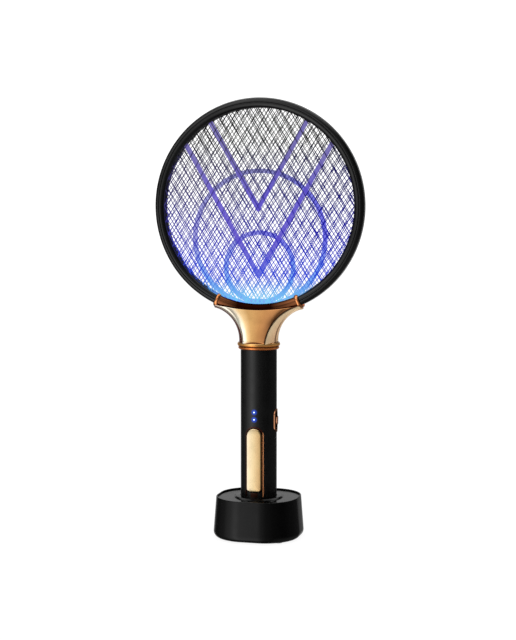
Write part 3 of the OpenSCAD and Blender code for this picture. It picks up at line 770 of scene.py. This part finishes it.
def build_handle_collar():
    """Two round beads with a groove between them, over the joint of handle and neck."""
    inside, lower_bead, upper_bead = HANDLE_R + 0.1, 1.7, 2.3
    profile = [(inside, COLLAR_LOW + 0.3)]
    profile += arc(HANDLE_R + 0.7, COLLAR_LOW + lower_bead, lower_bead, -80, 56, 14)
    profile += arc(HANDLE_R + 1, COLLAR_HIGH - upper_bead - 0.1, upper_bead, -60, 84, 16)
    profile += [(inside, COLLAR_HIGH - 0.1)]
    turns = 128
    rows = []
    for i in range(turns):
        a = 2 * math.pi * i / turns
        rows.append([(r * math.cos(a), r * math.sin(a), z) for r, z in profile])
    obj = tube_object("handle_collar_skin", rows, closed=True)
    put(obj, "swatter", mat_collar, "trim_copper", "handle_collar")


# ---------- base ----------

def rounded_plan(half_w, half_d, r, n=20):
    """Points of a rounded rectangle, anticlockwise from +X."""
    points = []
    for sx, sy, start in ((1, 1, 0), (-1, 1, 90), (-1, -1, 180), (1, -1, 270)):
        points += arc(sx * (half_w - r), sy * (half_d - r), r, start, start + 90, n)
    return points


def build_base_shell():
    """The base's side shell, with a rounded foot, a straight flare and a thin raised rim."""
    foot_r, foot_in, flare, corner = 6.0, 5, 2.6, 35.7
    rim_r, rim_in, rim_depth, rim_wall = 0.8, 0.75, 3.2, 1.7
    levels = []
    for a in range(90, -1, -9):
        b = math.radians(a)
        levels.append((BASE_LOW + foot_r * (1 - math.sin(b)), -foot_in * (1 - math.cos(b))))
    straight = BASE_H - 0.9 - BASE_LOW - foot_r
    for t in (0.02, 0.2, 0.4, 0.6, 0.8, 0.98, 1.0):
        levels.append((BASE_LOW + foot_r + straight * t, -flare * t))
    for a in range(15, 181, 15):
        b = math.radians(a)
        levels.append((BASE_H - rim_r + rim_r * math.sin(b), -flare - rim_in * (1 - math.cos(b))))
    levels += [(BASE_H - rim_depth, -flare - rim_wall), (BASE_LOW + foot_r, -2.0), (BASE_LOW, -7.0)]
    rows = []
    for z, grow in levels:
        plan = rounded_plan(base_high.x + grow, base_high.y + grow, corner + grow)
        rows.append([(x, y, z) for x, y in plan])
    obj = tube_object("base_shell_skin", rows, closed=True)
    put(obj, "base", mat_base, "base_gloss", "base_shell")


# ---------- press bar ----------

def bar_outline(half_w, low, high, foot, n=24):
    """Outline of the bar: round top, small round lower corners."""
    points = arc(0, high - half_w, half_w, 0, 180, n)
    points += arc(-half_w + foot, low + foot, foot, 180, 270, 6)
    points += arc(half_w - foot, low + foot, foot, 270, 360, 6)
    return points


def build_press_bar():
    """The gold bar: a slightly crowned face with rounded edges, which runs back to its flange."""
    face, back, edge, foot, crown = -BAR_LOW.y, 12.6, 1.1, 3, 0.3
    low, high = BAR_LOW.z + BAR_FLANGE, BAR_HIGH.z - BAR_FLANGE
    levels = [(back, 0.0, foot)]
    for a in range(0, 91, 15):
        b = math.radians(a)
        inset = edge * (1 - math.cos(b))
        levels.append((face - crown - edge * (1 - math.sin(b)), inset, foot - inset * 0.6))
    steps = 10
    for i in range(1, steps):
        inset = edge + (BAR_HALF - edge) * i / steps
        rise = crown * (1 - (1 - i / steps) ** 2)
        levels.append((face - crown + rise, inset, max(foot - inset, 0.2)))
    rows = [[(x, -depth, z) for x, z in bar_outline(BAR_HALF - inset, low + inset, high - inset, corner)]
            for depth, inset, corner in levels]
    put(tube_object("press_bar_skin", rows), "press_bar", mat_bar, "bar_gold", "press_bar")


def build_springs():
    """Two coil springs between the bar's flange and the board."""
    low, high = span("bar_springs")
    front_y, board_y = low.y, high.y
    reach = (high.x - low.x) / 2
    wire_r, turns, per_turn, sides = 0.33, 4, 28, 8
    coil_r, count = reach - wire_r, turns * per_turn
    verts, faces = [], []
    for z in (low.z + reach, high.z - reach):
        rows = []
        for i in range(count + 1):
            a = 2 * math.pi * i / per_turn
            y = front_y + wire_r + (board_y - front_y - 2 * wire_r) * i / count
            circle = arc(coil_r, y, wire_r, 0, 360 - 360 / sides, sides - 1)
            rows.append([(r * math.cos(a), w, z + r * math.sin(a)) for r, w in circle])
        add_tube(verts, faces, rows)
    obj = new_object("bar_spring_coils", verts, faces)
    put(obj, "swatter", mat_steel, "steel", "bar_springs")
    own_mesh(obj)


build_ring()
build_nets()
build_neck_shell(True)
build_neck_shell(False)
build_saddle()
build_clamp_collar(-1)
build_clamp_collar(1)
build_handle_collar()
build_base_shell()
build_press_bar()
build_springs()


# ---------- stage, light and camera ----------

# The soft fill on the object, and what the reflections show between the panels
FILL = 0.8
DARK = 0.02
# The left softbox's strength for each turn to the right of the camera's own direction, in degrees
SOFTBOX = ((-180, 0.0), (-126, 0.02), (-96, 0.16), (-70, 0.7), (-47, 1.5), (-30, 1.0),
           (-14, 0.36), (2, 0.15), (30, 0.05), (60, 0.01), (180, 0.0))


def view_axes():
    """Unit vectors from the object to the camera and to the camera's right, both level."""
    a = math.radians(CAMERA_AZIMUTH)
    return Vector((math.sin(a), -math.cos(a), 0)), Vector((math.cos(a), math.sin(a), 0))


def build_world():
    """White for the camera, soft white fill, and studio panels for the reflections."""
    world = bpy.data.worlds.new("studio")
    bpy.context.scene.world = world
    world.use_nodes = True
    world.node_tree.nodes.clear()
    world.cycles.sampling_method = "NONE"
    n = Nodes(world.node_tree)
    towards, right = view_axes()
    direction = n.add("ShaderNodeTexCoord").outputs["Generated"]

    def part(axis):
        node = n.add("ShaderNodeVectorMath", operation="DOT_PRODUCT")
        n.links.new(direction, node.inputs[0])
        node.inputs[1].default_value = axis
        return node.outputs["Value"]

    front, side, up = part(towards), part(right), part((0, 0, 1))
    turn = n.math("MULTIPLY", n.math("ARCTAN2", side, front), 180 / math.pi)
    rise = n.math("MULTIPLY", n.math("ARCSINE", up), 180 / math.pi)

    def window(value, a, b, c, d):
        """1 between b and c, falling to 0 at a and d."""
        return n.math("MULTIPLY", n.ramp(value, a, b), n.ramp(value, c, d, 1.0, 0.0))

    half_greys = [(at, (level / 2, level / 2, level / 2, 1)) for at, level in SOFTBOX]
    softbox = n.math("MULTIPLY", n.curve(turn, half_greys, "EASE"), 2.0)
    tall = n.math("MULTIPLY", window(rise, -75, -45, 46, 66),
                  n.math("SUBTRACT", 1.0, n.math("MULTIPLY", window(rise, -2, 1, 8, 13), 0.75)))
    low_right = n.math("MULTIPLY", window(turn, 20, 50, 110, 150), window(rise, -89, -60, -30, -14))
    side_right = n.math("MULTIPLY", window(turn, 60, 90, 120, 160), window(rise, -30, -16, 10, 30))
    top = n.math("MULTIPLY", window(turn, -120, -60, 60, 120), window(rise, 46, 58, 72, 82))
    far = n.math("MULTIPLY", n.ramp(n.math("ABSOLUTE", turn), 110, 140), window(rise, 34, 50, 74, 86))
    back = n.math("MULTIPLY", n.ramp(n.math("ABSOLUTE", turn), 140, 165), window(rise, -75, -55, 12, 30))
    total = n.math("MULTIPLY", softbox, tall)
    for panel, strength in ((low_right, 0.15), (side_right, 0.04), (top, 1.0), (far, 2.2), (back, 0.5)):
        total = n.math("ADD", total, n.math("MULTIPLY", panel, strength))
    total = n.math("ADD", total, DARK)
    path = n.add("ShaderNodeLightPath")
    glossy = n.math("MULTIPLY", path.outputs["Is Glossy Ray"], n.math("SUBTRACT", total, FILL))
    soft = n.math("ADD", FILL, glossy)
    strength = n.math("ADD", soft, n.math("MULTIPLY", path.outputs["Is Camera Ray"], 0.4))
    background = n.add("ShaderNodeBackground")
    background.inputs["Color"].default_value = (1, 1, 1, 1)
    n.links.new(strength, background.inputs["Strength"])
    output = n.add("ShaderNodeOutputWorld")
    n.links.new(background.outputs[0], output.inputs["Surface"])


def build_floor():
    """A plain pale floor, out of the reflections so that the black parts stay black."""
    size = 6000
    obj = new_object("floor", [(-size, -size, 0), (size, -size, 0), (size, size, 0), (-size, size, 0)],
                     [(0, 1, 2, 3)], smooth=False)
    mat = bpy.data.materials.new("floor_pale")
    mat.use_nodes = True
    shader = shader_of(mat)
    shader.inputs["Base Color"].default_value = (0.2, 0.2, 0.2, 1)
    shader.inputs["Roughness"].default_value = 1.0
    shader.inputs["Specular IOR Level"].default_value = 0.0
    shader.inputs["Emission Color"].default_value = (1, 1, 1, 1)
    shader.inputs["Emission Strength"].default_value = 0.9
    obj.data.materials.append(mat)
    obj.visible_glossy = False


def build_camera():
    towards, right = view_axes()
    data = bpy.data.cameras.new("view")
    data.sensor_width = 36
    data.lens = CAMERA_LENS
    data.clip_end = 50
    camera = bpy.data.objects.new("view", data)
    bpy.context.scene.collection.objects.link(camera)
    place = towards * CAMERA_DISTANCE + right * CAMERA_SIDE
    camera.location = Vector((place.x, place.y, CAMERA_HEIGHT)) * MM
    camera.rotation_euler = (math.radians(90 - CAMERA_PITCH), 0, math.radians(CAMERA_AZIMUTH))
    bpy.context.scene.camera = camera


build_world()
build_floor()
build_camera()
bpy.context.scene.view_settings.view_transform = "Standard"
